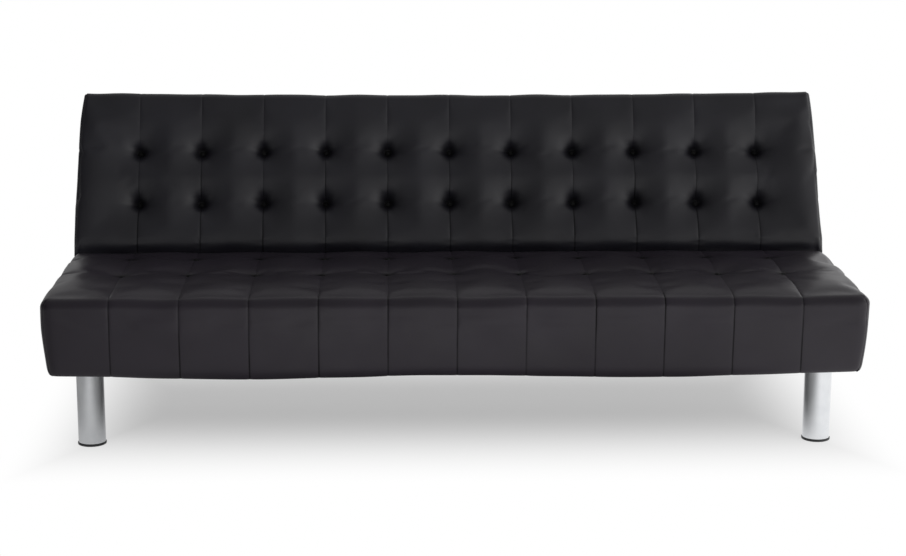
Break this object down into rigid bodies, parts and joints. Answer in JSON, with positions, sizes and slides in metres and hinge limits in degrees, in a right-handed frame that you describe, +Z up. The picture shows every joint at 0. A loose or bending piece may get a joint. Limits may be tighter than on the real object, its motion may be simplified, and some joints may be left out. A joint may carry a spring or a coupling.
{
  "type": "click clack sofa bed",
  "caption": "Armless click clack sofa bed in button-tufted black faux leather on round chrome legs; its back folds down on ratchet hinges to lie flush with the seat",
  "frame": {"origin": "on the floor, under the middle of the sofa's box as sat on", "axes": "+Z up, +X to the right of someone facing the sofa, the front towards -Y"},
  "size_m": [1.796, 0.794, 0.6985],
  "materials": {
    "leather": "black faux leather, fine grain, soft sheen",
    "leather_button": "black faux leather stretched over a button",
    "chrome": "bright chrome plate",
    "black_plastic": "moulded black plastic",
    "black_painted_steel": "black powder coat",
    "zinc_plated_steel": "zinc plate",
    "spring_steel": "drawn spring wire",
    "timber": "planed pine",
    "black_cloth": "black spun-bonded cloth",
    "webbing": "woven elastic webbing"
  },
  "bodies": {
    "base_and_seat": {"seat_cushion": "leather", "seat_button_row_front": "leather_button", "seat_button_row_rear": "leather_button", "seat_front_border": "leather", "seat_end_border_left": "leather", "seat_end_border_right": "leather", "seat_frame_front": "timber", "seat_frame_rear": "timber", "seat_frame_left": "timber", "seat_frame_right": "timber", "seat_spring_1": "spring_steel", "seat_spring_2": "spring_steel", "seat_spring_3": "spring_steel", "seat_spring_4": "spring_steel", "seat_spring_5": "spring_steel", "seat_spring_6": "spring_steel", "seat_dust_cover": "black_cloth", "front_cross_rail": "black_painted_steel", "middle_cross_rail": "black_painted_steel", "rear_cross_rail": "black_painted_steel", "side_rail_left": "black_painted_steel", "side_rail_right": "black_painted_steel", "leg_front_left": "chrome", "leg_front_right": "chrome", "leg_rear_left": "chrome", "leg_rear_right": "chrome", "glide_front_left": "black_plastic", "glide_front_right": "black_plastic", "glide_rear_left": "black_plastic", "glide_rear_right": "black_plastic", "hinge_bracket_left": "black_painted_steel", "hinge_bracket_right": "black_painted_steel", "pivot_pin_left": "zinc_plated_steel", "pivot_pin_right": "zinc_plated_steel", "pawl_pin_left": "zinc_plated_steel", "pawl_pin_right": "zinc_plated_steel", "pawl_spring_left": "spring_steel", "pawl_spring_right": "spring_steel"},
    "folding_back": {"back_cushion": "leather", "back_button_row_lower": "leather_button", "back_button_row_upper": "leather_button", "back_frame_left": "timber", "back_frame_right": "timber", "back_frame_bottom": "timber", "back_frame_top": "timber", "back_frame_post": "timber", "back_webbing_1": "webbing", "back_webbing_2": "webbing", "back_rear_cover": "black_cloth", "hinge_arm_left": "black_painted_steel", "hinge_arm_right": "black_painted_steel", "arm_bolt_1_left": "zinc_plated_steel", "arm_bolt_1_right": "zinc_plated_steel", "arm_bolt_2_left": "zinc_plated_steel", "arm_bolt_2_right": "zinc_plated_steel", "ratchet_plate_left": "zinc_plated_steel", "ratchet_plate_right": "zinc_plated_steel"},
    "left_pawl": {"pawl_left": "zinc_plated_steel"},
    "right_pawl": {"pawl_right": "zinc_plated_steel"}
  },
  "joints": [
    {"name": "back_fold", "type": "hinge", "parent": "base_and_seat", "child": "folding_back", "pos_m": [0, 0.15796, 0.29], "axis": [1, 0, 0], "range_deg": [-64.6, 10]},
    {"name": "left_pawl_turn", "type": "hinge", "parent": "base_and_seat", "child": "left_pawl", "pos_m": [-0.806, 0.13697, 0.264], "axis": [1, 0, 0], "range_deg": [-10, 15.7]},
    {"name": "right_pawl_turn", "type": "hinge", "parent": "base_and_seat", "child": "right_pawl", "pos_m": [0.806, 0.13697, 0.264], "axis": [1, 0, 0], "range_deg": [-10, 15.7]}
  ]
}
